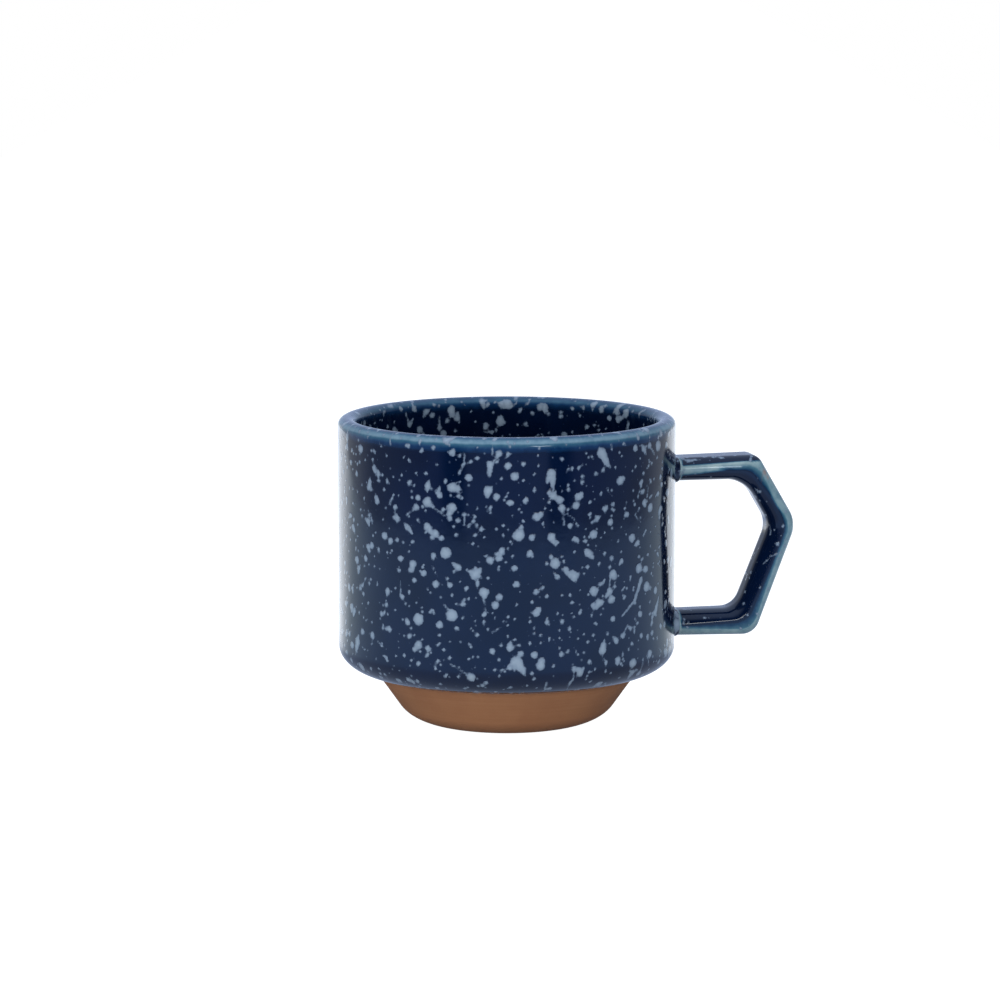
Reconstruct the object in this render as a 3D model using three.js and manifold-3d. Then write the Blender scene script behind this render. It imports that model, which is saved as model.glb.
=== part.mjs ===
// Stacking mug: a terracotta cup and a bent strap handle, stuck together with slip and dipped in glaze.
// Millimetres, +Z up. The origin is the centre of the foot's flat resting face, and the handle points to +X.
import * as THREE from 'three';
import { mergeVertices } from 'three/addons/utils/BufferGeometryUtils.js';
import Module from 'manifold-3d';

// Cup: sizes of the glazed surfaces.
const SEGMENTS = 40; // facets around the cup, a multiple of 4 so that one edge of facets faces the handle
const BODY_RADIUS = 42.5;
const WALL = 4.8; // glaze to glaze
const RIM_HEIGHT = 77.5;
const RIM_RISE = 1.8; // height of the rounded lip
const SHOULDER = { start: 19.75, inward: 9.4, down: 6.7 }; // quarter ellipse between the wall and the foot
const BOWL = { start: 30, tightness: 14, floor: 6.5, floorRadius: 10, floorPull: 14 }; // inside curve

// Foot: bare clay.
const FOOT_FLAT_RADIUS = 17;
const FOOT_ROLL = { outward: 11.4, up: 8.1, tangentAngle: 27 }; // ellipse between the flat and the cone
const GLAZE_EDGE_ANGLE = 86; // degrees round the shoulder at which the glaze ends, just above the foot

// Handle: a strap with full, soft edges. Its outer and inner outlines have roots and bends of their own.
const HANDLE_WIDTH = 11;
const HANDLE_EDGE = { across: 3.2, deep: 2.8 }; // the quarter ellipse that rounds each long edge
const OUTER = {
  upperRoot: 66.1,
  lowerRoot: 20.6,
  bends: [
    { x: 64.4, z: 66.5, radius: 3.6 },
    { x: 74.75, z: 48.7, radius: 7.4 },
    { x: 63.85, z: 20.15, radius: 4.6 },
  ],
};
const INNER = {
  upperRoot: 60.1,
  lowerRoot: 26.9,
  bends: [
    { x: 61.15, z: 60.1, radius: 8.5 },
    { x: 67.9, z: 48.4, radius: 6.5 },
    { x: 59.4, z: 27, radius: 5.2 },
  ],
};

// Slip joints: a thin pad between the wall and the handle, with a rounded collar about the handle's root.
const SLIP_PAD = 0.5;
const COLLAR = { margin: 0.1, flare: 0.2, base: 42.6, reach: 1, cornerRadius: 3 };

// Coats.
const GLAZE = 0.5;
const GAP = 0.1; // clearance that keeps touching pieces apart
const CLAY_INSET = GLAZE + GAP;
const ROOT_X = 38; // where the handle's outlines start, inside the wall, before they are cut back

const clayRadius = BODY_RADIUS - CLAY_INSET;
const rimCentreRadius = BODY_RADIUS - WALL / 2;
const rimBase = RIM_HEIGHT - RIM_RISE;

const clay = () => new THREE.MeshStandardMaterial({ color: 0x825840, roughness: 0.85, metalness: 0 });
const slip = () => new THREE.MeshStandardMaterial({ color: 0x6b5247, roughness: 0.7, metalness: 0 });
const glaze = () => new THREE.MeshStandardMaterial({ color: 0x1f2c4d, roughness: 0.12, metalness: 0 });

const wasm = await Module();
wasm.setup();

// Points on an ellipse about (centreX, centreY), angles in degrees.
function ellipseArc(centreX, centreY, radiusX, radiusY, from, to, steps) {
  const points = [];
  for (let i = 0; i <= steps; i += 1) {
    const angle = THREE.MathUtils.degToRad(from + ((to - from) * i) / steps);
    points.push(new THREE.Vector2(centreX + radiusX * Math.cos(angle), centreY + radiusY * Math.sin(angle)));
  }
  return points;
}

// The shoulder from the glaze's edge up to the wall, set into the cup by the inset.
function shoulderProfile(inset) {
  const { start, inward, down } = SHOULDER;
  return ellipseArc(BODY_RADIUS - inward, start, inward - inset, down - inset, -GLAZE_EDGE_ANGLE, 0, 6);
}

// The lip from the outside over to the inside.
function lipProfile(inset) {
  return ellipseArc(rimCentreRadius, rimBase, WALL / 2 - inset, RIM_RISE - inset, 0, 180, 7);
}

// The inside from the wall down to the middle of the floor, set into the cup by the inset.
function bowlProfile(inset, top) {
  const radius = BODY_RADIUS - WALL;
  const curve = new THREE.CubicBezierCurve(
    new THREE.Vector2(radius, BOWL.start),
    new THREE.Vector2(radius, BOWL.start - BOWL.tightness),
    new THREE.Vector2(BOWL.floorRadius + BOWL.floorPull, BOWL.floor),
    new THREE.Vector2(BOWL.floorRadius, BOWL.floor),
  );
  const points = [new THREE.Vector2(radius + inset, top)];
  const steps = 8;
  for (let i = 0; i <= steps; i += 1) {
    const tangent = curve.getTangent(i / steps);
    const outward = new THREE.Vector2(-tangent.y, tangent.x);
    points.push(curve.getPoint(i / steps).addScaledVector(outward, inset));
  }
  points.push(new THREE.Vector2(0, BOWL.floor - inset));
  return points;
}

// Turns a profile (radius, height) about the Z axis.
function turn(profile) {
  return new THREE.LatheGeometry(profile, SEGMENTS).rotateX(Math.PI / 2);
}

// The foot from the middle of its flat out to the top of the roll; a straight cone joins it to the shoulder.
function footProfile() {
  const { outward, up, tangentAngle } = FOOT_ROLL;
  return [new THREE.Vector2(0, 0), ...ellipseArc(FOOT_FLAT_RADIUS, up, outward, up, -90, -tangentAngle, 5)];
}

function clayCup() {
  return turn([
    ...footProfile(),
    ...shoulderProfile(CLAY_INSET),
    ...lipProfile(CLAY_INSET),
    ...bowlProfile(CLAY_INSET, BOWL.start + BOWL.tightness),
  ]);
}

function insideGlaze() {
  const top = rimBase - GAP;
  return turn([...bowlProfile(GLAZE, top).reverse(), ...bowlProfile(0, top)]);
}

function outsideGlaze() {
  const front = [...shoulderProfile(0), ...lipProfile(0)];
  const back = [...shoulderProfile(GLAZE), ...lipProfile(GLAZE)];
  return turn([...front, ...back.reverse(), front[0].clone()]);
}

// A polyline from the upper root, round the bends, and back to the lower root; each bend is a true arc.
function bentLine({ upperRoot, lowerRoot, bends }) {
  const corners = [
    new THREE.Vector2(ROOT_X, upperRoot),
    ...bends.map(({ x, z }) => new THREE.Vector2(x, z)),
    new THREE.Vector2(ROOT_X, lowerRoot),
  ];
  const points = [corners[0]];
  bends.forEach(({ radius }, i) => {
    points.push(...bendArc(corners[i], corners[i + 1], corners[i + 2], radius));
  });
  points.push(corners[corners.length - 1]);
  return points;
}

// The arc that rounds one corner of a polyline.
function bendArc(before, corner, after, radius) {
  const steps = 4;
  const toBefore = before.clone().sub(corner).normalize();
  const toAfter = after.clone().sub(corner).normalize();
  const halfAngle = Math.acos(toBefore.dot(toAfter)) / 2;
  const bisector = toBefore.clone().add(toAfter).normalize();
  const centre = corner.clone().addScaledVector(bisector, radius / Math.sin(halfAngle));
  const start = corner.clone().addScaledVector(toBefore, radius / Math.tan(halfAngle)).sub(centre);
  const sweep = Math.sign(start.cross(bisector.clone().negate())) * (Math.PI - 2 * halfAngle);
  const origin = new THREE.Vector2();
  const points = [];
  for (let i = 0; i <= steps; i += 1) {
    points.push(start.clone().rotateAround(origin, (sweep * i) / steps).add(centre));
  }
  return points;
}

// The strap with its long edges rounded, shrunk on every side by the inset.
function strap(inset) {
  const { across, deep } = HANDLE_EDGE;
  const outline = new THREE.Shape([...bentLine(OUTER), ...bentLine(INNER).reverse()]);
  const depth = HANDLE_WIDTH - 2 * across;
  const geometry = new THREE.ExtrudeGeometry(outline, {
    depth,
    bevelThickness: across - inset,
    bevelSize: deep - inset,
    bevelOffset: -deep,
    bevelSegments: 3,
  });
  return toSolid(geometry.rotateX(Math.PI / 2).translate(0, depth / 2, 0));
}

function roundedRectangle(sizeX, sizeY, radius) {
  const x = sizeX / 2 - radius;
  const y = sizeY / 2 - radius;
  return new THREE.Shape()
    .absarc(x, y, radius, 0, Math.PI / 2)
    .absarc(-x, y, radius, Math.PI / 2, Math.PI)
    .absarc(-x, -y, radius, Math.PI, 1.5 * Math.PI)
    .absarc(x, -y, radius, 1.5 * Math.PI, 2 * Math.PI);
}

// The solid block of one collar, about the strap's root between two heights, grown on every side.
function collarBlock(top, bottom, grow) {
  const { margin, flare, base, reach, cornerRadius } = COLLAR;
  const section = roundedRectangle(top - bottom + 2 * margin, HANDLE_WIDTH + 2 * margin, cornerRadius);
  const geometry = new THREE.ExtrudeGeometry(section, {
    depth: base - ROOT_X,
    bevelThickness: reach + grow,
    bevelSize: flare,
    bevelOffset: grow,
    bevelSegments: 3,
    curveSegments: 3,
  });
  return toSolid(geometry.rotateY(Math.PI / 2).translate(ROOT_X, 0, (top + bottom) / 2));
}

const upperCollar = (grow) => collarBlock(OUTER.upperRoot, INNER.upperRoot, grow);
const lowerCollar = (grow) => collarBlock(INNER.lowerRoot, OUTER.lowerRoot, grow);

// A cylinder about the cup's axis with the same facets as the cup, taller than the cup.
function core(radius) {
  const height = 2 * RIM_HEIGHT;
  return toSolid(new THREE.CylinderGeometry(radius, radius, height, SEGMENTS).rotateX(Math.PI / 2));
}

// A boolean solid from a closed geometry, and back.
function toSolid(geometry) {
  geometry.deleteAttribute('normal');
  geometry.deleteAttribute('uv');
  const merged = mergeVertices(geometry, 1e-4);
  return new wasm.Manifold(new wasm.Mesh({
    numProp: 3,
    vertProperties: new Float32Array(merged.getAttribute('position').array),
    triVerts: new Uint32Array(merged.getIndex().array),
  }));
}

function toGeometry(solid) {
  const mesh = solid.getMesh();
  const geometry = new THREE.BufferGeometry();
  geometry.setAttribute('position', new THREE.BufferAttribute(new Float32Array(mesh.vertProperties), 3));
  geometry.setIndex(new THREE.BufferAttribute(new Uint32Array(mesh.triVerts), 1));
  geometry.computeVertexNormals();
  return geometry;
}

// The handle's end face follows the wall, a slip pad away from it.
function clayHandle() {
  return strap(CLAY_INSET).subtract(core(clayRadius + SLIP_PAD + 2 * GAP));
}

function slipJoint(block) {
  const socket = strap(GLAZE).subtract(core(clayRadius + SLIP_PAD + GAP));
  return block.subtract(core(clayRadius + GAP)).subtract(socket);
}

function handleGlaze() {
  return strap(0).subtract(strap(GLAZE)).subtract(upperCollar(GAP)).subtract(lowerCollar(GAP));
}

function glazeRoundTheCollars() {
  return toSolid(outsideGlaze()).subtract(upperCollar(GAP)).subtract(lowerCollar(GAP));
}

const mug = new THREE.Group();

function addPiece(name, geometry, material) {
  const mesh = new THREE.Mesh(geometry, material);
  mesh.name = name;
  mug.add(mesh);
}

addPiece('clay_cup', clayCup(), clay());
addPiece('clay_handle', toGeometry(clayHandle()), clay());
addPiece('upper_slip_joint', toGeometry(slipJoint(upperCollar(0))), slip());
addPiece('lower_slip_joint', toGeometry(slipJoint(lowerCollar(0))), slip());
addPiece('inside_glaze_coat', insideGlaze(), glaze());
addPiece('outside_glaze_coat', toGeometry(glazeRoundTheCollars()), glaze());
addPiece('handle_glaze_coat', toGeometry(handleGlaze()), glaze());

export default mug;
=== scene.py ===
"""Looks of the stacking mug: a terracotta cup and a strap handle under a navy glaze with pale spatter."""
import math

import bpy
import numpy as np
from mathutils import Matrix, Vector, kdtree


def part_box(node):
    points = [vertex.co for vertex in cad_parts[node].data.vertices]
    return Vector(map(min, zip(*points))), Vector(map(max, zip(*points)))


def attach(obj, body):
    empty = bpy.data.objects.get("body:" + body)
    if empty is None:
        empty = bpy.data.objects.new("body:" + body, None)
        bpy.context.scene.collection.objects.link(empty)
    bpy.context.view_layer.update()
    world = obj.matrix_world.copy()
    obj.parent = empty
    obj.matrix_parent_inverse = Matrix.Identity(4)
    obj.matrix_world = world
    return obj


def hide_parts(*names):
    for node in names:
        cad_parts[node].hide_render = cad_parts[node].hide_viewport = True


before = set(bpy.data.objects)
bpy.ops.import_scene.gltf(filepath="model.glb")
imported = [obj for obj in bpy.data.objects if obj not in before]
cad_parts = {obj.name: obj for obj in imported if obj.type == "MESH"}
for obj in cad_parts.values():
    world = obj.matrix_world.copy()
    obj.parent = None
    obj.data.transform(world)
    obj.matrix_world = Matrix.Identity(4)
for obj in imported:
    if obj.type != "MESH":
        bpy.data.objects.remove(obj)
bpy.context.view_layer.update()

MM = 0.001
SEED = 29

# Cup, in millimetres: the sizes of the CAD part's profile.
BODY_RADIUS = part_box("outside_glaze_coat")[1].y / MM
WALL = 4.8
RIM_HEIGHT = 77.5
RIM_RISE = 1.8
SHOULDER = {"start": 19.75, "inward": 9.4, "down": 6.7}
BOWL = {"start": 30.0, "tightness": 14.0, "floor": 6.5, "floor_radius": 10.0, "floor_pull": 14.0}
FOOT_FLAT_RADIUS = 17.0
FOOT_ROLL = {"outward": 11.4, "up": 8.1, "tangent_angle": 27.0}
GLAZE_EDGE_ANGLE = 86.0
GLAZE = 0.5
BEAD = {"inward": 0.7, "half_height": 0.6}  # the glaze's lower edge, as shares of its thickness
CLAY_INSET = 0.6

# Handle, in millimetres. Each outline has the height of both its roots, and its bends: where the straight
# runs would meet, and a radius. The long edges are quarter ellipses, given as (depth, across).
HANDLE_WIDTH = 11.0
OUTER_EDGE = (2.8, 2.8)
INNER_EDGE = (3.5, 4.2)
OUTER = {"roots": (66.1, 20.6), "bends": [(64.4, 66.5, 3.6), (74.75, 48.7, 7.4), (63.85, 20.15, 4.6)]}
INNER = {"roots": (60.1, 26.9), "bends": [(61.15, 60.1, 8.5), (67.9, 48.4, 6.5), (59.4, 27.0, 5.2)]}
ROOT_X = 42.2
IRON_SPECKS = [(65.7, -4.96, 62.1, 1.0), (66.5, -4.8, 60.8, 0.7), (60.9, -5.5, 23.5, 0.9)]

# Mesh densities: points round the cup, and the millimetres between points along an outline. The glaze that
# shows is fine, because it carries the spatter; what lies hidden is coarse.
AROUND_OUTSIDE = 500
AROUND_INSIDE = 430
AROUND_CLAY = 256
FINE = 0.5
FINE_INSIDE = 0.56
COARSE = 2.5
CRISP_STEP = 0.05  # a share of the first and last step

# Camera: 1.05 m from the cup's axis and above the rim, turned so that the handle comes slightly forward.
CAMERA_AZIMUTH = math.radians(-11.2)
CAMERA_DISTANCE = 1.05
CAMERA_HEIGHT = 0.214
CAMERA_PITCH = math.radians(8.549)
CAMERA_YAW_OFFSET = math.radians(0.0926)
CAMERA_LENS = 151.5
SENSOR = 36.0


# ---------------------------------------------------------------- outlines

def ellipse_arc(centre, radii, start, end, count):
    """Points on an ellipse between two angles in degrees."""
    angles = np.radians(np.linspace(start, end, count))
    return np.column_stack((centre[0] + radii[0] * np.cos(angles), centre[1] + radii[1] * np.sin(angles)))


def evenly(points, spacing):
    """The same line with its points an even distance apart."""
    points = np.asarray(points, float)
    along = np.concatenate(([0.0], np.cumsum(np.linalg.norm(np.diff(points, axis=0), axis=1))))
    count = max(2, round(along[-1] / spacing) + 1)
    wanted = np.linspace(0.0, along[-1], count)
    return np.column_stack([np.interp(wanted, along, column) for column in points.T])


def with_crisp_ends(line):
    """The same line with an extra point just inside each end, which keeps smooth shading true to the edge."""
    first = line[0] + (line[1] - line[0]) * CRISP_STEP
    last = line[-1] + (line[-2] - line[-1]) * CRISP_STEP
    return np.vstack((line[:1], first, line[1:-1], last, line[-1:]))


def shoulder(inset):
    """The rounded corner from the glaze's edge up to the wall."""
    centre = (BODY_RADIUS - SHOULDER["inward"], SHOULDER["start"])
    radii = (SHOULDER["inward"] - inset, SHOULDER["down"] - inset)
    return ellipse_arc(centre, radii, -GLAZE_EDGE_ANGLE, 0.0, 60)


def lip(inset):
    """The rounded lip from the outside over to the inside."""
    centre = (BODY_RADIUS - WALL / 2, RIM_HEIGHT - RIM_RISE)
    return ellipse_arc(centre, (WALL / 2 - inset, RIM_RISE - inset), 0.0, 180.0, 60)


def bowl(inset):
    """The inside from the top of the wall down to the middle of the floor."""
    radius = BODY_RADIUS - WALL
    p0 = np.array((radius, BOWL["start"]))
    p1 = p0 - (0.0, BOWL["tightness"])
    p3 = np.array((BOWL["floor_radius"], BOWL["floor"]))
    p2 = p3 + (BOWL["floor_pull"], 0.0)
    t = np.linspace(0.0, 1.0, 80)[:, None]
    curve = (1 - t) ** 3 * p0 + 3 * (1 - t) ** 2 * t * p1 + 3 * (1 - t) * t ** 2 * p2 + t ** 3 * p3
    slope = 3 * (1 - t) ** 2 * (p1 - p0) + 6 * (1 - t) * t * (p2 - p1) + 3 * t ** 2 * (p3 - p2)
    slope /= np.linalg.norm(slope, axis=1)[:, None]
    curve += inset * np.column_stack((-slope[:, 1], slope[:, 0]))
    top = (radius + inset, RIM_HEIGHT - RIM_RISE)
    return np.vstack((top, curve, (0.0, BOWL["floor"] - inset)))


def foot():
    """The foot from the middle of its flat out to the top of the roll."""
    centre = (FOOT_FLAT_RADIUS, FOOT_ROLL["up"])
    radii = (FOOT_ROLL["outward"], FOOT_ROLL["up"])
    return np.vstack(((0.0, 0.0), ellipse_arc(centre, radii, -90.0, -FOOT_ROLL["tangent_angle"], 40)))


# ---------------------------------------------------------------- meshes

def grid_faces(rows, columns, wrap_rows):
    """Quads between rows of points; every row is a closed ring."""
    last = rows if wrap_rows else rows - 1
    i, j = np.meshgrid(np.arange(last), np.arange(columns), indexing="ij")
    up, right = (i + 1) % rows, (j + 1) % columns
    quads = np.stack((i * columns + j, i * columns + right, up * columns + right, up * columns + j), axis=-1)
    return quads.reshape(-1, 4).tolist()


def cap_faces(ring_start, pole, columns, flip):
    """Triangles from a ring to the single point at its middle."""
    ring = [(ring_start + j, ring_start + (j + 1) % columns) for j in range(columns)]
    return [(b, a, pole) if flip else (a, b, pole) for a, b in ring]


def revolve(profile, segments):
    """Turns a profile of (radius, height) about Z: a closed loop, or a line with both ends on the axis."""
    on_axis = profile[0][0] < 1e-9
    rings = profile[1:-1] if on_axis else profile
    angles = np.linspace(0.0, 2 * math.pi, segments, endpoint=False)
    points = np.empty((len(rings), segments, 3))
    points[..., 0] = rings[:, :1] * np.cos(angles)
    points[..., 1] = rings[:, :1] * np.sin(angles)
    points[..., 2] = rings[:, 1:]
    faces = grid_faces(len(rings), segments, wrap_rows=not on_axis)
    points = points.reshape(-1, 3)
    if on_axis:
        count = len(points)
        points = np.vstack((points, (0.0, 0.0, profile[0][1]), (0.0, 0.0, profile[-1][1])))
        faces += cap_faces(0, count, segments, flip=True)
        faces += cap_faces(count - segments, count + 1, segments, flip=False)
    return points, faces


def signed_volume(points, faces):
    """Six times the volume that a closed mesh holds, negative when its faces look inward."""
    corners = np.array([face[:3] for face in faces])
    a, b, c = (points[corners[:, k]] for k in range(3))
    quads = np.array([face for face in faces if len(face) == 4])
    total = np.einsum("ij,ij->i", a, np.cross(b, c)).sum()
    if len(quads):
        a, b, c = points[quads[:, 0]], points[quads[:, 2]], points[quads[:, 3]]
        total += np.einsum("ij,ij->i", a, np.cross(b, c)).sum()
    return total


def make_piece(name, points, faces, material, replaces=()):
    """A smooth closed mesh from points in millimetres, as a piece of the mug."""
    if signed_volume(points, faces) < 0:
        faces = [face[::-1] for face in faces]
    mesh = bpy.data.meshes.new(name)
    mesh.from_pydata((points * MM).tolist(), [], faces)
    mesh.shade_smooth()
    mesh.materials.append(material)
    piece = bpy.data.objects.new(name, mesh)
    bpy.context.scene.collection.objects.link(piece)
    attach(piece, "root")
    if replaces:
        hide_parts(*replaces)
    return piece


def set_attribute(piece, name, values):
    """Stores one number per vertex for the material to read."""
    attribute = piece.data.attributes.new(name, "FLOAT", "POINT")
    attribute.data.foreach_set("value", np.asarray(values, np.float32))


def smoothstep(low, high, values):
    """From 0 at one value to 1 at the other, which may be the lower one, with an even ease at both ends."""
    t = np.clip((np.asarray(values, float) - low) / (high - low), 0.0, 1.0)
    return t * t * (3 - 2 * t)


# ---------------------------------------------------------------- cup

# How thin the glaze has run near the lip: heights, and 0 to 1 at each.
OUTER_LIP_THINNESS = ((72.0, 73.5, 74.8, 75.7, 76.4, 77.1, 77.5), (0.0, 0.05, 0.18, 0.42, 0.76, 0.56, 0.2))
INNER_LIP_THINNESS = ((72.0, 74.0, 75.6, 76.7, 77.4), (0.0, 0.06, 0.15, 0.46, 0.3))
EDGE_LINE_THIN_AND_HIGHLIT = 0.64  # how far the pale line at the lower edge reaches up: glaze run thin, and paler still as a painted highlight


def make_clay_cup(material):
    """The cup in one piece, a little inside the glaze where there is glaze."""
    under_glaze = np.vstack((shoulder(CLAY_INSET), lip(CLAY_INSET)))
    cone = evenly((foot()[-1], under_glaze[0]), COARSE)[1:-1]
    profile = np.vstack((foot(), cone, under_glaze, bowl(CLAY_INSET)))
    points, faces = revolve(profile, AROUND_CLAY)
    return make_piece("clay_body", points, faces, material, ["clay_cup"])


def glaze_bead():
    """The rounded edge where the outside glaze stops, from its back surface round to its front."""
    front, back = shoulder(0.0)[0], shoulder(GLAZE)[0]
    middle = (front + back) / 2
    radii = (GLAZE * BEAD["inward"], GLAZE * BEAD["half_height"])
    return ellipse_arc(middle, radii, 90.0, 270.0, 12)[1:-1]


def make_outside_glaze(material):
    """The coat over the wall, the shoulder and the lip. Returns it and how many of its points show."""
    front = with_crisp_ends(evenly(np.vstack((shoulder(0.0), lip(0.0))), FINE))
    back = evenly(np.vstack((shoulder(GLAZE), lip(GLAZE))), COARSE)[::-1]
    profile = np.vstack((front, back, glaze_bead()))
    points, faces = revolve(profile, AROUND_OUTSIDE)
    piece = make_piece("outside_glaze", points, faces, material, ["outside_glaze_coat"])
    set_attribute(piece, "thin", np.repeat(coat_thinness(profile), AROUND_OUTSIDE))
    return piece, len(front) * AROUND_OUTSIDE


def coat_thinness(profile):
    """How far the glaze has run thin, 0 to 1: over the lip, and in a line at its lower edge, where full
    thinness also stands for a painted highlight on the rounded edge.
    """
    radius, height = profile[:, 0], profile[:, 1]
    outward = smoothstep(BODY_RADIUS - WALL * 0.6, BODY_RADIUS - WALL * 0.3, radius)
    outer = np.interp(height, *OUTER_LIP_THINNESS)
    inner = np.interp(height, *INNER_LIP_THINNESS)
    at_edge_thin_and_highlit = height < SHOULDER["start"] - SHOULDER["down"] + EDGE_LINE_THIN_AND_HIGHLIT
    return np.where(at_edge_thin_and_highlit, 1.0, outer * outward + inner * (1.0 - outward))


def make_inside_glaze(material):
    """The liner, from the lip's inner edge to the floor. Returns it and how many of its points show."""
    front = with_crisp_ends(evenly(bowl(0.0), FINE_INSIDE))[::-1]
    back = evenly(bowl(GLAZE), COARSE)
    points, faces = revolve(np.vstack((front, back)), AROUND_INSIDE)
    piece = make_piece("inside_glaze", points, faces, material, ["inside_glaze_coat"])
    set_attribute(piece, "thin", np.interp(points[:, 2], *INNER_LIP_THINNESS))
    return piece, (len(front) - 1) * AROUND_INSIDE


# ---------------------------------------------------------------- handle

def bend_arc(before, corner, after, radius, count):
    """The arc that rounds one corner of a line."""
    to_before = (before - corner) / np.linalg.norm(before - corner)
    to_after = (after - corner) / np.linalg.norm(after - corner)
    half = math.acos(float(to_before @ to_after)) / 2
    bisector = (to_before + to_after) / np.linalg.norm(to_before + to_after)
    centre = corner + bisector * radius / math.sin(half)
    start = corner + to_before * radius / math.tan(half) - centre
    sweep = (math.pi - 2 * half) * np.sign(start[1] * bisector[0] - start[0] * bisector[1])
    angles = math.atan2(start[1], start[0]) + np.linspace(0.0, sweep, count)
    return centre + radius * np.column_stack((np.cos(angles), np.sin(angles)))


def outline_runs(outline, counts):
    """An outline as its runs in order, straight and bend by turns, each with a set number of points."""
    bends = outline["bends"]
    corners = [np.array((ROOT_X, outline["roots"][0]))]
    corners += [np.array(bend[:2]) for bend in bends]
    corners.append(np.array((ROOT_X, outline["roots"][1])))
    arcs = [bend_arc(corners[k], corners[k + 1], corners[k + 2], bends[k][2], counts[2 * k + 1])
            for k in range(len(bends))]
    ends = [corners[0]] + [point for arc in arcs for point in (arc[0], arc[-1])] + [corners[-1]]
    runs = []
    for k in range(len(bends) + 1):
        runs.append(np.linspace(ends[2 * k], ends[2 * k + 1], counts[2 * k]))
        if k < len(bends):
            runs.append(arcs[k])
    return runs


def handle_stations(spacing):
    """Matching points on the outer and inner outlines, from the upper root to the lower root."""
    trial = [3] * 7
    outer, inner = outline_runs(OUTER, trial), outline_runs(INNER, trial)
    length = lambda run: np.linalg.norm(np.diff(run, axis=0), axis=1).sum()
    counts = [max(4, round(max(length(a), length(b)) / spacing) + 1) for a, b in zip(outer, inner)]
    outer, inner = outline_runs(OUTER, counts), outline_runs(INNER, counts)
    join = lambda runs: np.vstack([runs[0]] + [run[1:] for run in runs[1:]])
    return join(outer), join(inner)


def strap_section(thickness, inset):
    """Points round the strap's section as (depth from the outer face, across), starting mid outer face."""
    half = HANDLE_WIDTH / 2 - inset
    low, high = inset, thickness - inset
    outer = np.array(OUTER_EDGE) - inset
    inner = np.array(INNER_EDGE) - inset
    outer_corner = np.array((low + outer[0], half - outer[1]))
    inner_corner = np.array((high - inner[0], half - inner[1]))
    quarter = [
        np.linspace((low, 0.0), (low, outer_corner[1]), 7)[:-1],
        ellipse_arc(outer_corner, outer, 180.0, 90.0, 11)[:-1],
        ellipse_arc(inner_corner, inner, 90.0, 0.0, 15)[:-1],
        np.linspace((high, inner_corner[1]), (high, 0.0), 4),
    ]
    side = np.vstack(quarter)
    mirrored = side[-2:0:-1] * (1.0, -1.0)
    return np.vstack((side, mirrored))


def strap_surface(spacing, inset):
    """Rows of points round the strap, and each point's place in its section."""
    rows, sections = [], []
    for outer, inner in zip(*handle_stations(spacing)):
        across = inner - outer
        thickness = np.linalg.norm(across)
        section = strap_section(thickness, inset)
        place = outer + section[:, :1] * across / thickness
        rows.append(np.column_stack((place[:, 0], section[:, 1], place[:, 1])))
        sections.append(section)
    return np.array(rows), np.array(sections)


def make_handle_glaze(material):
    """The coat round the handle. Returns it and how many of its points show."""
    front, section = strap_surface(FINE, 0.0)
    back, _ = strap_surface(COARSE, GLAZE)
    points = np.concatenate((front, back[::-1]))
    rows, columns = points.shape[:2]
    points = points.reshape(-1, 3)
    faces = grid_faces(rows, columns, wrap_rows=True)
    piece = make_piece("handle_glaze", points, faces, material, ["handle_glaze_coat"])
    thin = np.zeros((rows, columns))
    thin[:len(front)] = edge_thinness(front, section)
    set_attribute(piece, "thin", thin.reshape(-1))
    set_attribute(piece, "handle", np.ones(rows * columns))
    specks = [smoothstep(radius, radius * 0.4, np.linalg.norm(points - centre, axis=1))
              for *centre, radius in IRON_SPECKS]
    set_attribute(piece, "iron", np.max(specks, axis=0))
    return piece, len(front) * columns


# Where the handle's glaze has run thin: a band along each outer edge, by its depth below the outer face and
# its distance from the middle, and a ring at each root, by X. In each pair the thinness is gone at the first
# place and full at the second.
THIN_BAND = 2.4
SAG = 1.75  # how much deeper the band lies on the upper run
BAND_START = (-0.35, 0.3)
BAND_STOP = (0.5, -0.4)
BAND_ASIDE = (1.6, 3.0)
RING_START = (43.35, 43.6)
RING_STOP = (44.5, 44.0)
BAND_THINNESS = 0.62
THINNER_ON_TOP = 0.16
RING_THINNESS = 0.74


def edge_thinness(surface, section):
    """How far the glaze has run thin, 0 to 1, in the bands and the rings."""
    depth, aside = section[..., 0], np.abs(section[..., 1])
    run = np.gradient(surface[:, 0], axis=0)
    outward = np.maximum(0.0, run[:, :1] / np.linalg.norm(run, axis=1, keepdims=True)) ** 3
    start, stop = SAG * outward, THIN_BAND + SAG * outward
    none, full = BAND_START
    band = smoothstep(start + none, start + full, depth - none * (1.0 - outward))
    none, full = BAND_STOP
    band = band * smoothstep(stop + none, stop + full, depth) * smoothstep(*BAND_ASIDE, aside)
    thinner = THINNER_ON_TOP * outward * smoothstep(stop, start, depth)
    along = surface[..., 0]
    ring = smoothstep(*RING_START, along) * smoothstep(*RING_STOP, along)
    return np.maximum((BAND_THINNESS + thinner) * band, RING_THINNESS * ring)


# Joint skins: (height above the wall, growth beyond the strap) round the skin's own section.
PAD_REACH = 1.24
PAD_SECTION = np.array([
    (-0.4, 1.05), (0.0, 1.05), (0.05, 0.86), (0.18, 0.68), (0.4, 0.52), (0.7, 0.4), (0.95, 0.3), (1.12, 0.18),
    (1.22, 0.02), (1.24, -0.25), (1.1, -0.35), (0.4, -0.35), (-0.4, -0.35),
])
PAD_SQUARENESS = 3.2
PAD_COLUMNS = 96
PAD_SPACING = 0.12
PAD_THINNESS = 0.3


def pad_outline(middle, height, grow):
    """A superellipse about the strap's root, grown on every side, as (across, height)."""
    angles = np.linspace(0.0, 2 * math.pi, PAD_COLUMNS, endpoint=False)
    power = 2 / PAD_SQUARENESS
    cosine, sine = np.cos(angles), np.sin(angles)
    across = (HANDLE_WIDTH / 2 + grow) * np.sign(cosine) * np.abs(cosine) ** power
    up = (height / 2 + grow) * np.sign(sine) * np.abs(sine) ** power
    return np.column_stack((across, middle + up))


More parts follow.
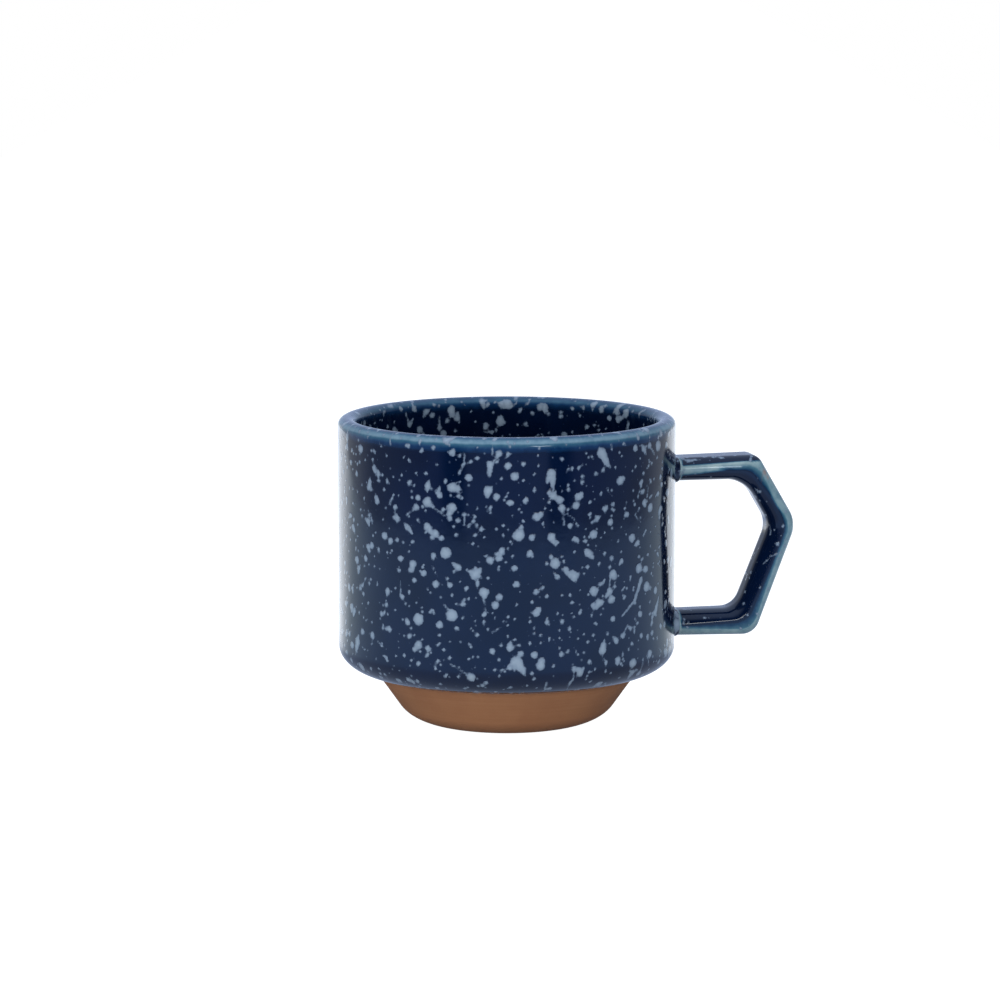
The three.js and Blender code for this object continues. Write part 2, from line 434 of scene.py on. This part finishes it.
def make_joint_skin(name, top, bottom, material):
    """The glazed pad of slip about one root of the handle; its foot follows the round wall."""
    section = evenly(np.vstack((PAD_SECTION, PAD_SECTION[:1])), PAD_SPACING)[:-1]
    rows = []
    for rise, grow in section:
        outline = pad_outline((top + bottom) / 2, top - bottom, grow)
        wall_drop = BODY_RADIUS - np.sqrt(BODY_RADIUS ** 2 - outline[:, 0] ** 2)
        share = 1.0 - np.clip(rise / PAD_REACH, 0.0, 1.0)
        rows.append(np.column_stack((BODY_RADIUS + rise - wall_drop * share, outline)))
    points = np.array(rows)
    faces = grid_faces(len(points), PAD_COLUMNS, wrap_rows=True)
    piece = make_piece(name, points.reshape(-1, 3), faces, material)
    foot_line = smoothstep(0.5, 0.1, section[:, 0]) * smoothstep(0.4, 0.9, section[:, 1])
    set_attribute(piece, "thin", np.repeat(PAD_THINNESS * foot_line, PAD_COLUMNS))
    return piece, len(points) * PAD_COLUMNS


# ---------------------------------------------------------------- spatter

# Drops that the eye picks out: azimuth from the camera's side in degrees, height, length, width, lean
# from upright in degrees clockwise, and how the drop is shaped.
LANDMARKS = [
    (32.5, 73.2, 6.4, 2.9, 155.0, "splash"),
    (15.0, 68.6, 4.9, 2.2, 170.0, "tear"),
    (-18.0, 65.2, 3.9, 2.6, 95.0, "splash"),
    (-5.0, 71.5, 4.4, 1.9, 185.0, "tear"),
    (-6.0, 65.0, 2.9, 2.5, 200.0, "splash"),
    (4.2, 53.6, 2.9, 2.8, 0.0, "round"),
    (-10.3, 44.4, 3.1, 2.8, 60.0, "splash"),
    (-20.5, 49.5, 2.8, 2.7, 0.0, "round"),
    (-30.8, 32.2, 3.3, 3.0, 0.0, "round"),
    (-18.2, 33.6, 3.3, 2.8, 330.0, "comet"),
    (46.5, 36.2, 11.0, 1.25, 40.0, "thread"),
    (3.0, 22.6, 5.6, 3.3, 140.0, "splash"),
    (11.4, 21.8, 3.2, 2.5, 20.0, "tear"),
    (-12.2, 18.8, 5.8, 2.2, 305.0, "comet"),
    (60.0, 31.0, 5.6, 2.0, 30.0, "splash"),
    (33.5, 24.0, 3.9, 2.3, 15.0, "tear"),
]

# The same on the handle, by place: x, y and height, then length, width, lean and shape.
HANDLE_LANDMARKS = [
    (46.2, -4.2, 65.4, 3.6, 1.1, 92.0, "splash"),
    (44.6, -3.6, 65.6, 2.0, 1.0, 150.0, "splash"),
    (44.4, -5.2, 62.4, 2.2, 0.6, 20.0, "tear"),
    (52.5, -3.4, 66.0, 1.6, 0.8, 80.0, "splash"),
    (45.2, -4.6, 24.6, 2.0, 0.7, 200.0, "splash"),
    (50.0, -3.2, 66.2, 1.3, 0.8, 80.0, "splash"),
    (54.8, -3.9, 65.9, 1.5, 0.8, 100.0, "splash"),
    (58.0, -3.0, 66.3, 1.2, 0.7, 70.0, "tear"),
    (67.9, -5.4, 40.2, 5.4, 0.5, 57.0, "thread"),
]

NO_DROP = 2.0  # the distance stored where no drop is near
MERGE = 0.3  # how widely two drops that meet flow together
STAMP_MARGIN = 1.5  # how far past its edge a drop's distance is worked out


class Canvas:
    """Every glazed point that shows, with the distance to the nearest drop's edge at each."""

    def __init__(self, coats):
        self.coats = coats
        self.points = np.vstack([read_vectors(piece, "co")[:shown] for piece, shown in coats]) / MM
        self.normals = np.vstack([read_vectors(piece, "normal")[:shown] for piece, shown in coats])
        self.distance = np.full(len(self.points), NO_DROP)
        self.tree = kdtree.KDTree(len(self.points))
        for index, point in enumerate(self.points):
            self.tree.insert(point, index)
        self.tree.balance()

    def frame_at(self, index):
        """A surface point with its normal, upward and sideways directions."""
        normal = self.normals[index]
        up = np.array((0.0, 0.0, 1.0)) - normal * normal[2]
        if np.linalg.norm(up) < 0.2:
            up = np.array((0.0, 1.0, 0.0)) - normal * normal[1]
        up /= np.linalg.norm(up)
        return self.points[index], normal, up, np.cross(up, normal)

    def stamp(self, index, strokes):
        """Lays strokes, each (x0, y0, radius0, x1, y1, radius1) in the surface at a point, and joins them."""
        origin, normal, up, side = self.frame_at(index)
        reach = max(math.hypot(s[k], s[k + 1]) + s[k + 2] for s in strokes for k in (0, 3))
        reach += STAMP_MARGIN
        near = np.array([item[1] for item in self.tree.find_range(origin, reach)])
        offset = self.points[near] - origin
        same_side = (self.normals[near] @ normal > 0.25) & (np.abs(offset @ normal) < 0.4 * reach + 0.5)
        near, offset = near[same_side], offset[same_side]
        flat = np.column_stack((offset @ side, offset @ up))
        best = self.distance[near]
        for stroke in strokes:
            best = soft_minimum(best, stroke_distance(flat, stroke), MERGE)
        self.distance[near] = best

    def closest(self, x, y, z):
        return self.tree.find((x, y, z))[1]

    def on_wall(self, azimuth, height):
        """The outside point that faces an azimuth, in degrees from the camera's side, at a height."""
        angle = CAMERA_AZIMUTH + math.radians(azimuth)
        return self.closest(BODY_RADIUS * math.sin(angle), -BODY_RADIUS * math.cos(angle), height)

    def store(self):
        start = 0
        for piece, shown in self.coats:
            values = np.full(len(piece.data.vertices), NO_DROP)
            values[:shown] = self.distance[start:start + shown]
            set_attribute(piece, "drop", values)
            start += shown


def read_vectors(piece, name):
    """A mesh's points or normals as rows of three."""
    values = np.empty(len(piece.data.vertices) * 3, np.float32)
    piece.data.vertices.foreach_get(name, values)
    return values.reshape(-1, 3).astype(float)


def stroke_distance(flat, stroke):
    """Distance from points in a plane to the edge of a line that tapers from one end to the other."""
    start, end = np.array(stroke[0:2]), np.array(stroke[3:5])
    line = end - start
    along = np.clip((flat - start) @ line / max(line @ line, 1e-9), 0.0, 1.0)
    gap = np.linalg.norm(flat - start - along[:, None] * line, axis=1)
    return gap - (stroke[2] + (stroke[5] - stroke[2]) * along)


def soft_minimum(a, b, blend):
    """The smaller of two distances, with the corner where they meet rounded off."""
    overlap = np.clip(blend - np.abs(a - b), 0.0, None) / blend
    return np.minimum(a, b) - overlap * overlap * blend / 4


def turned(strokes, lean):
    """Strokes drawn along +y, turned clockwise by an angle in degrees."""
    cosine, sine = math.cos(math.radians(lean)), math.sin(math.radians(lean))
    turn = lambda x, y: (x * cosine + y * sine, y * cosine - x * sine)
    return [(*turn(s[0], s[1]), s[2], *turn(s[3], s[4]), s[5]) for s in strokes]


# Each shape below turns a length, a width and the random source into strokes along +y.

def round_drop(length, width, rng):
    """Nearly a disc, so only its width counts."""
    wobble = rng.uniform(-0.12, 0.12, 2) * width
    radius = width / 2
    return [(0.0, 0.0, radius, 0.0, 0.0, radius),
            (wobble[0], wobble[1], radius * 0.92, -wobble[1], wobble[0], radius * 0.9)]


def tear_drop(length, width, rng):
    """A round end that tapers to a tip, slightly bent."""
    radius = width / 2
    tip = length - radius
    bend = rng.uniform(-0.15, 0.15) * length
    return [(0.0, 0.0, radius, bend / 3, tip * 0.55, radius * 0.62),
            (bend / 3, tip * 0.55, radius * 0.62, bend, tip, 0.12 * radius)]


def comet(length, width, rng):
    """A round drop with a thin tail and a knob at the tail's end."""
    radius = width / 2
    bend = rng.uniform(-0.2, 0.2) * length
    strokes = [(0.0, 0.0, radius, 0.0, radius * 0.9, radius * 0.35),
               (0.0, radius * 0.9, radius * 0.35, bend / 2, length * 0.6, 0.2),
               (bend / 2, length * 0.6, 0.2, bend, length, 0.28)]
    return strokes + round_drop(width, width * 0.95, rng)


def thread(length, width, rng):
    """A thin, slightly bent line."""
    bend = rng.uniform(-0.12, 0.12) * length
    thick = width / 2
    return [(0.0, -length / 2, thick * 0.45, bend, 0.0, thick * 0.6),
            (bend, 0.0, thick * 0.7, 0.0, length / 2, thick * 1.1)]


def splash(length, width, rng):
    """A body with lobes at its sides and a few spikes."""
    strokes = tear_drop(length, width * 0.9, rng)
    for _ in range(rng.integers(2, 5)):
        angle = rng.uniform(0.0, 2 * math.pi)
        reach = width * rng.uniform(0.35, 0.75)
        x, y = reach * math.sin(angle), reach * math.cos(angle)
        strokes.append((x * 0.4, y * 0.4, width * 0.28, x, y, width * rng.uniform(0.05, 0.2)))
    return strokes


SHAPES = {"round": round_drop, "tear": tear_drop, "comet": comet, "thread": thread, "splash": splash}
DROP_MIX = (("round", 0.42), ("tear", 0.27), ("splash", 0.22), ("comet", 0.05), ("thread", 0.04))
DROPS = 4300
SMALLEST_DROP = 0.47  # width; finer ones are the material's mist
LARGEST_DROPS = (1.4, 2.6)
LARGEST_ON_HANDLE = 0.75
KEPT_ON_HANDLE = 0.3
SIZE_FALL = 1.35  # how steeply large drops get rarer
LEAN_SPREAD = 45.0
TAIL_DOWN = 0.65  # the share of drops with their tails below them
THREAD_WIDTH = 0.55


def random_drop(rng, largest):
    """A drop's strokes: most are small and round, a few are long or ragged."""
    kind = rng.choice([name for name, _ in DROP_MIX], p=[share for _, share in DROP_MIX])
    width = min(SMALLEST_DROP * (1.0 - rng.random()) ** (-1.0 / SIZE_FALL), largest)
    stretch = 1.0 + rng.gamma(1.2, 0.3)
    lean = rng.normal(0.0, LEAN_SPREAD) + (180.0 if rng.random() < TAIL_DOWN else 0.0)
    if kind == "thread":
        return turned(thread(width * 2.2 + 1.0, THREAD_WIDTH, rng), lean)
    if kind == "comet":
        return turned(comet(width * 2.2, width, rng), lean)
    return turned(SHAPES[kind](width * stretch, width, rng), lean)


def point_shares(coats):
    """The share of the shown glaze that each of its vertices stands for."""
    areas = []
    for piece, shown in coats:
        mesh = piece.data
        face_areas = np.empty(len(mesh.polygons), np.float32)
        mesh.polygons.foreach_get("area", face_areas)
        totals = np.empty(len(mesh.polygons), np.int32)
        mesh.polygons.foreach_get("loop_total", totals)
        corners = np.empty(len(mesh.loops), np.int32)
        mesh.loops.foreach_get("vertex_index", corners)
        around = np.bincount(corners, np.repeat(face_areas / totals, totals), len(mesh.vertices))
        areas.append(around[:shown])
    shares = np.concatenate(areas)
    return shares / shares.sum()


def spatter(coats):
    """Flicks pale glaze over every coat and stores each vertex's distance to it."""
    rng = np.random.default_rng(SEED)
    canvas = Canvas(coats)
    for azimuth, height, length, width, lean, kind in LANDMARKS:
        strokes = turned(SHAPES[kind](length, width, rng), lean)
        canvas.stamp(canvas.on_wall(azimuth, height), strokes)
    for *place, length, width, lean, kind in HANDLE_LANDMARKS:
        canvas.stamp(canvas.closest(*place), turned(SHAPES[kind](length, width, rng), lean))
    tries = rng.choice(len(canvas.points), (DROPS, 2), p=point_shares(coats))
    for choices in tries:
        index = max(choices, key=lambda choice: canvas.distance[choice])
        x, y, _ = canvas.points[index]
        on_handle = math.hypot(x, y) > BODY_RADIUS + 0.1
        if on_handle and rng.random() > KEPT_ON_HANDLE:
            continue
        largest = LARGEST_ON_HANDLE if on_handle else rng.uniform(*LARGEST_DROPS)
        canvas.stamp(index, random_drop(rng, largest))
    canvas.store()


# ---------------------------------------------------------------- material nodes

def new_material(name):
    material = bpy.data.materials.new(name)
    material.use_nodes = True
    tree = material.node_tree
    return material, tree, tree.nodes["Principled BSDF"]


def feed(tree, socket, value):
    """Links an output to a socket, or sets the socket's own value."""
    if isinstance(value, bpy.types.NodeSocket):
        tree.links.new(value, socket)
    elif value is not None:
        socket.default_value = value


def calc(tree, operation, *values):
    """One step of arithmetic on outputs or numbers."""
    node = tree.nodes.new("ShaderNodeMath")
    node.operation = operation
    for socket, value in zip(node.inputs, values):
        feed(tree, socket, value)
    return node.outputs[0]


def remap(tree, value, low, high, to_low=0.0, to_high=1.0, smooth=True):
    """Carries one range of values over to another."""
    node = tree.nodes.new("ShaderNodeMapRange")
    node.interpolation_type = "SMOOTHSTEP" if smooth else "LINEAR"
    for socket, item in zip(node.inputs, (value, low, high, to_low, to_high)):
        feed(tree, socket, item)
    return node.outputs[0]


def blend_colours(tree, share, first, second):
    node = tree.nodes.new("ShaderNodeMix")
    node.data_type = "RGBA"
    for socket, item in zip((node.inputs[0], node.inputs[6], node.inputs[7]), (share, first, second)):
        feed(tree, socket, item)
    return node.outputs[2]


def colour_ramp(tree, value, stops):
    node = tree.nodes.new("ShaderNodeValToRGB")
    elements = node.color_ramp.elements
    elements[0].position, elements[0].color = stops[0]
    elements[1].position, elements[1].color = stops[-1]
    for position, colour in stops[1:-1]:
        elements.new(position).color = colour
    feed(tree, node.inputs[0], value)
    return node.outputs[0]


def millimetres(tree, stretch=(1.0, 1.0, 1.0)):
    """The place on the object in millimetres, stretched if asked."""
    place = tree.nodes.new("ShaderNodeTexCoord").outputs["Object"]
    scale = tree.nodes.new("ShaderNodeVectorMath")
    scale.operation = "MULTIPLY"
    feed(tree, scale.inputs[0], place)
    scale.inputs[1].default_value = [1.0 / MM * amount for amount in stretch]
    return scale.outputs[0]


def noise(tree, place, scale, detail=2.0, roughness=0.5):
    node = tree.nodes.new("ShaderNodeTexNoise")
    feed(tree, node.inputs["Vector"], place)
    node.inputs["Scale"].default_value = scale
    node.inputs["Detail"].default_value = detail
    node.inputs["Roughness"].default_value = roughness
    return node.outputs["Fac"]


def read_attribute(tree, name):
    node = tree.nodes.new("ShaderNodeAttribute")
    node.attribute_name = name
    return node.outputs["Fac"]


def bump(tree, height, distance, under=None):
    node = tree.nodes.new("ShaderNodeBump")
    node.inputs["Strength"].default_value = 1.0
    node.inputs["Distance"].default_value = distance
    feed(tree, node.inputs["Height"], height)
    feed(tree, node.inputs["Normal"], under)
    return node.outputs["Normal"]


def rgb(red, green, blue):
    """A colour given as a picture shows it, 0 to 255, in the renderer's linear values."""
    linear = [((v / 255 + 0.055) / 1.055) ** 2.4 if v > 10 else v / 255 / 12.92 for v in (red, green, blue)]
    return (*linear, 1.0)


# ---------------------------------------------------------------- materials

MIST_CELL = 2.1
MIST_RADIUS = 0.45


def mist_distance(tree, place):
    """Distance to the edge of the finest droplets, too small for the mesh to carry."""
    cells = tree.nodes.new("ShaderNodeTexVoronoi")
    feed(tree, cells.inputs["Vector"], place)
    cells.inputs["Scale"].default_value = 1.0 / MIST_CELL
    chance = tree.nodes.new("ShaderNodeSeparateColor")
    feed(tree, chance.inputs[0], cells.outputs["Color"])
    radius = calc(tree, "MULTIPLY", calc(tree, "POWER", chance.outputs[0], 1.6), MIST_RADIUS)
    gap = calc(tree, "MULTIPLY", cells.outputs["Distance"], MIST_CELL)
    return calc(tree, "SUBTRACT", gap, radius)


def dark_glaze(tree, place):
    """The colour under the drops: navy, and teal to grey where the glaze has run thin; the palest end, at the
    lower edge's line, is partly a painted highlight.
    """
    cloud = noise(tree, place, 0.06, 3.0)
    navy = blend_colours(tree, remap(tree, cloud, 0.35, 0.65), rgb(2, 14, 38), rgb(4, 19, 46))
    thin = read_attribute(tree, "thin")
    unevenness = calc(tree, "SUBTRACT", noise(tree, place, 0.4, 4.0, 0.6), 0.5)
    patch = calc(tree, "MULTIPLY_ADD", unevenness, 0.34, thin)
    veil = remap(tree, thin, 0.02, 0.15)
    worn = calc(tree, "MULTIPLY", calc(tree, "MAXIMUM", patch, 0.0), veil)
    # The palest stops, met mostly in the line at the glaze's lower edge, are thin glaze and a painted
    # highlight.
    thinned = colour_ramp(tree, worn, [
        (0.0, rgb(3, 16, 40)), (0.22, rgb(16, 48, 84)), (0.5, rgb(50, 90, 114)),
        (0.78, rgb(117, 146, 161)), (1.0, rgb(200, 206, 208)),
    ])
    greyed = colour_ramp(tree, worn, [
        (0.0, rgb(3, 16, 40)), (0.22, rgb(20, 56, 84)), (0.5, rgb(68, 108, 125)),
        (0.78, rgb(148, 170, 173)), (1.0, rgb(192, 194, 192)),
    ])
    thinned = blend_colours(tree, read_attribute(tree, "handle"), thinned, greyed)
    return blend_colours(tree, veil, navy, thinned)


def pale_glaze(tree, place, inside):
    """The colour of the drops, darker towards their edges."""
    deep = remap(tree, inside, 0.05, -0.9, smooth=False)
    tone = calc(tree, "MULTIPLY_ADD", calc(tree, "SUBTRACT", noise(tree, place, 1.6, 3.0), 0.5), 0.5, deep)
    return colour_ramp(tree, tone, [
        (0.0, rgb(91, 107, 127)), (0.35, rgb(119, 135, 152)), (1.0, rgb(138, 154, 169)),
    ])


def glaze_material():
    """Glossy navy glaze, teal where it runs thin, with drops of a paler glaze sunk into it."""
    material, tree, shader = new_material("navy_spatter_glaze")
    place = millimetres(tree)
    ragged = calc(tree, "MULTIPLY", calc(tree, "SUBTRACT", noise(tree, place, 0.9, 3.0, 0.6), 0.5), 0.95)
    drop = calc(tree, "ADD", read_attribute(tree, "drop"), ragged)
    inside = calc(tree, "MINIMUM", drop, mist_distance(tree, place))
    cover = remap(tree, inside, 0.19, -0.22)

    share = calc(tree, "MULTIPLY", cover, 0.96)
    colour = blend_colours(tree, share, dark_glaze(tree, place), pale_glaze(tree, place, inside))
    rust = calc(tree, "MULTIPLY", read_attribute(tree, "iron"), 0.6)
    colour = blend_colours(tree, rust, colour, rgb(150, 104, 92))
    feed(tree, shader.inputs["Base Color"], colour)

    ripple = noise(tree, place, 0.35, 2.0)
    gloss = calc(tree, "MULTIPLY_ADD", ripple, 0.05, 0.08)
    feed(tree, shader.inputs["Roughness"], calc(tree, "MULTIPLY_ADD", cover, 0.04, gloss))
    peel = bump(tree, ripple, 0.012 * MM)
    relief = bump(tree, cover, 0.03 * MM, under=peel)
    feed(tree, shader.inputs["Normal"], relief)
    return material


def clay_material():
    """Bare terracotta: faint turning rings, fine grain and small dark flecks."""
    material, tree, shader = new_material("bare_terracotta")
    place = millimetres(tree)
    rings = noise(tree, millimetres(tree, (0.03, 0.03, 1.6)), 1.0, 4.0, 0.6)
    grain = noise(tree, place, 4.0, 3.0, 0.7)
    blush = noise(tree, place, 0.12, 3.0)
    base = colour_ramp(tree, rings, [
        (0.25, rgb(149, 105, 74)), (0.5, rgb(153, 108, 77)), (0.75, rgb(157, 111, 80)),
    ])
    base = blend_colours(tree, remap(tree, blush, 0.35, 0.7, 0.0, 0.35), base, rgb(136, 92, 66))
    base = blend_colours(tree, remap(tree, grain, 0.62, 0.78, 0.0, 0.5), base, rgb(112, 76, 55))
    base = blend_colours(tree, remap(tree, grain, 0.34, 0.22, 0.0, 0.4), base, rgb(178, 136, 108))
    feed(tree, shader.inputs["Base Color"], base)
    feed(tree, shader.inputs["Roughness"], remap(tree, grain, 0.2, 0.8, 0.72, 0.92, smooth=False))
    shader.inputs["Specular IOR Level"].default_value = 0.25
    scored = bump(tree, rings, 0.05 * MM)
    feed(tree, shader.inputs["Normal"], bump(tree, grain, 0.05 * MM, under=scored))
    return material


def slip_material():
    """Dried joining slip under the glaze: darker than the clay, smooth with fine grain."""
    material, tree, shader = new_material("joining_slip")
    place = millimetres(tree)
    grain = noise(tree, place, 2.5, 3.0, 0.6)
    base = blend_colours(tree, remap(tree, grain, 0.3, 0.7), rgb(92, 68, 58), rgb(120, 92, 80))
    feed(tree, shader.inputs["Base Color"], base)
    feed(tree, shader.inputs["Roughness"], remap(tree, grain, 0.2, 0.8, 0.6, 0.8, smooth=False))
    feed(tree, shader.inputs["Normal"], bump(tree, grain, 0.04 * MM))
    return material


# ---------------------------------------------------------------- studio

WHITE = (1.0, 1.0, 1.0)
COOL = (0.85, 0.93, 1.0)
TABLE_RADIUS = 0.376  # metres, as are all the studio's sizes
TABLE_BACK = 6.0
LOOK_AT = Vector((0.0, 0.0, 0.04))


def toward_camera(distance, aside=0.0, height=0.0):
    """A place on the camera's side of the mug."""
    s, c = math.sin(CAMERA_AZIMUTH), math.cos(CAMERA_AZIMUTH)
    return Vector((distance * s + aside * c, -distance * c + aside * s, height))


def grey(level):
    return (level, level, level, 1.0)


def light(red, green, blue):
    return (red, green, blue, 1.0)


def share_from_front(tree, direction):
    """How far round from the studio's front a direction points, 0 to 1 at the back, and its height."""
    turn = tree.nodes.new("ShaderNodeVectorRotate")
    turn.rotation_type = "Z_AXIS"
    feed(tree, turn.inputs["Vector"], direction)
    turn.inputs["Angle"].default_value = -CAMERA_AZIMUTH
    parts = tree.nodes.new("ShaderNodeSeparateXYZ")
    feed(tree, parts.inputs[0], turn.outputs[0])
    x, y, z = parts.outputs
    around = calc(tree, "ABSOLUTE", calc(tree, "ARCTAN2", x, calc(tree, "MULTIPLY", y, -1.0)))
    return calc(tree, "DIVIDE", around, math.pi), z


def floor_material():
    """White to look at. To mirror rays it glows as a painted, lit table in a cool room, with painted shade in
    front and a painted shadow near the mug.
    """
    material, tree, shader = new_material("pale_floor")
    place = tree.nodes.new("ShaderNodeTexCoord").outputs["Object"]
    # Painted light of the table that the glaze mirrors: dimmer in front, bright towards the back.
    mirrored = colour_ramp(tree, share_from_front(tree, place)[0], [
        (0.0, light(0.34, 0.55, 1.0)), (0.45, light(0.45, 0.66, 1.05)), (0.57, light(0.56, 0.77, 1.08)),
        (0.68, light(0.78, 0.96, 1.12)), (0.77, light(1.58, 1.7, 1.85)), (0.89, light(1.5, 1.6, 1.75)),
        (1.0, light(0.6, 0.76, 1.1)),
    ])
    radius = tree.nodes.new("ShaderNodeVectorMath")
    radius.operation = "LENGTH"
    feed(tree, radius.inputs[0], place)
    # Painted shadow: the mirrored table darkens near the mug.
    far = remap(tree, radius.outputs["Value"], 0.06, 0.16)
    mirrored = blend_colours(tree, far, light(0.34, 0.42, 0.6), mirrored)
    rays = tree.nodes.new("ShaderNodeLightPath").outputs
    feed(tree, shader.inputs["Base Color"], blend_colours(tree, rays["Is Glossy Ray"], grey(0.3), grey(0.0)))
    # Emission that only mirror rays see: a painted reflection, not a lamp.
    painted_reflection_glow = blend_colours(tree, rays["Is Glossy Ray"], grey(0.0), mirrored)
    seen = blend_colours(tree, rays["Is Camera Ray"], painted_reflection_glow, grey(1.0))
    feed(tree, shader.inputs["Emission Color"], seen)
    shader.inputs["Emission Strength"].default_value = 1.0
    shader.inputs["Roughness"].default_value = 0.9
    shader.inputs["Specular IOR Level"].default_value = 0.0
    return material


def make_floor():
    """A pale table with a round front edge, beyond which the mug's upper wall mirrors the room."""
    front = [toward_camera(TABLE_RADIUS * math.cos(a), TABLE_RADIUS * math.sin(a))
             for a in np.linspace(-math.pi / 2, math.pi / 2, 49)]
    back = [toward_camera(-TABLE_BACK, side) for side in (TABLE_RADIUS, -TABLE_RADIUS)]
    corners = front + back
    mesh = bpy.data.meshes.new("floor")
    mesh.from_pydata(corners, [], [range(len(corners))])
    mesh.materials.append(floor_material())
    floor = bpy.data.objects.new("floor", mesh)
    bpy.context.scene.collection.objects.link(floor)


def make_world():
    """A dim room, brighter overhead and behind, with a faint window in front; white where it is seen."""
    world = bpy.data.worlds.new("studio")
    world.use_nodes = True
    bpy.context.scene.world = world
    tree = world.node_tree
    direction = tree.nodes.new("ShaderNodeTexCoord").outputs["Generated"]
    share, z = share_from_front(tree, direction)
    low = colour_ramp(tree, share, [
        (0.0, light(0.17, 0.24, 0.47)), (0.145, light(0.17, 0.24, 0.47)), (0.165, grey(0.0)),
        (0.225, grey(0.0)), (0.27, light(0.13, 0.17, 0.38)), (0.46, light(0.2, 0.26, 0.44)),
        (0.57, light(0.23, 0.29, 0.43)), (0.66, light(0.45, 0.52, 0.66)), (0.77, light(0.54, 0.59, 0.67)),
        (0.86, light(0.82, 0.86, 0.9)), (1.0, light(0.9, 0.95, 1.0)),
    ])
    high = colour_ramp(tree, share, [
        (0.0, grey(0.01)), (0.25, grey(0.01)), (0.5, light(0.14, 0.16, 0.18)),
        (0.75, light(0.34, 0.38, 0.44)), (1.0, light(0.5, 0.62, 0.9)),
    ])
    walls = blend_colours(tree, remap(tree, z, -0.02, 0.05), low, high)
    level = blend_colours(tree, remap(tree, z, 0.4, 0.9), walls, light(0.5, 0.64, 0.9))
    background = tree.nodes["Background"]
    backdrop = tree.nodes.new("ShaderNodeBackground")
    feed(tree, background.inputs["Color"], level)
    backdrop.inputs["Color"].default_value = grey(1.0)
    rays = tree.nodes.new("ShaderNodeLightPath")
    choose = tree.nodes.new("ShaderNodeMixShader")
    choices = (rays.outputs["Is Camera Ray"], background.outputs[0], backdrop.outputs[0])
    for socket, value in zip(choose.inputs, choices):
        feed(tree, socket, value)
    feed(tree, tree.nodes["World Output"].inputs["Surface"], choose.outputs[0])


def make_light(name, place, size, watts, colour=WHITE, mirrored=False):
    """A soft rectangular light that looks at the mug, with or without an image of it in the glaze."""
    lamp = bpy.data.lights.new(name, "AREA")
    lamp.shape = "RECTANGLE"
    lamp.size, lamp.size_y = size
    lamp.energy = watts
    lamp.color = colour
    panel = bpy.data.objects.new(name, lamp)
    panel.visible_glossy = mirrored
    panel.visible_camera = False
    panel.location = place
    panel.rotation_euler = (LOOK_AT - place).to_track_quat("-Z", "Y").to_euler()
    bpy.context.scene.collection.objects.link(panel)


def make_camera():
    lens = bpy.data.cameras.new("camera")
    lens.lens = CAMERA_LENS
    lens.sensor_width = SENSOR
    lens.clip_start, lens.clip_end = 0.05, 50.0
    camera = bpy.data.objects.new("camera", lens)
    camera.location = toward_camera(CAMERA_DISTANCE, 0.0, CAMERA_HEIGHT)
    camera.rotation_euler = (math.pi / 2 - CAMERA_PITCH, 0.0, CAMERA_AZIMUTH + CAMERA_YAW_OFFSET)
    bpy.context.scene.collection.objects.link(camera)
    bpy.context.scene.camera = camera


def make_studio():
    make_floor()
    make_world()
    make_light("overhead", Vector((0.0, 0.1, 1.4)), (1.2, 1.2), 5.0)
    make_light("front_box", toward_camera(1.15, -0.2, 0.17), (0.9, 0.3), 10.5)
    make_light("left_box", toward_camera(0.45, -1.0, 0.3), (0.6, 0.5), 2.5)
    make_light("right_box", toward_camera(0.45, 1.0, 0.3), (0.6, 0.5), 2.5)
    make_light("front_strip", toward_camera(1.3, 0.54, 0.1), (0.3, 0.1), 0.9, COOL, mirrored=True)
    bpy.context.scene.view_settings.view_transform = "Standard"
    make_camera()


# ---------------------------------------------------------------- the mug

make_studio()
clay = clay_material()
glaze = glaze_material()
slip = slip_material()
for name, material in {"clay_handle": clay, "upper_slip_joint": slip, "lower_slip_joint": slip}.items():
    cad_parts[name].data.materials.clear()
    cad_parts[name].data.materials.append(material)

make_clay_cup(clay)
coats = [
    make_outside_glaze(glaze),
    make_inside_glaze(glaze),
    make_handle_glaze(glaze),
    make_joint_skin("upper_joint_glaze", OUTER["roots"][0], INNER["roots"][0], glaze),
    make_joint_skin("lower_joint_glaze", INNER["roots"][1], OUTER["roots"][1], glaze),
]
spatter(coats)
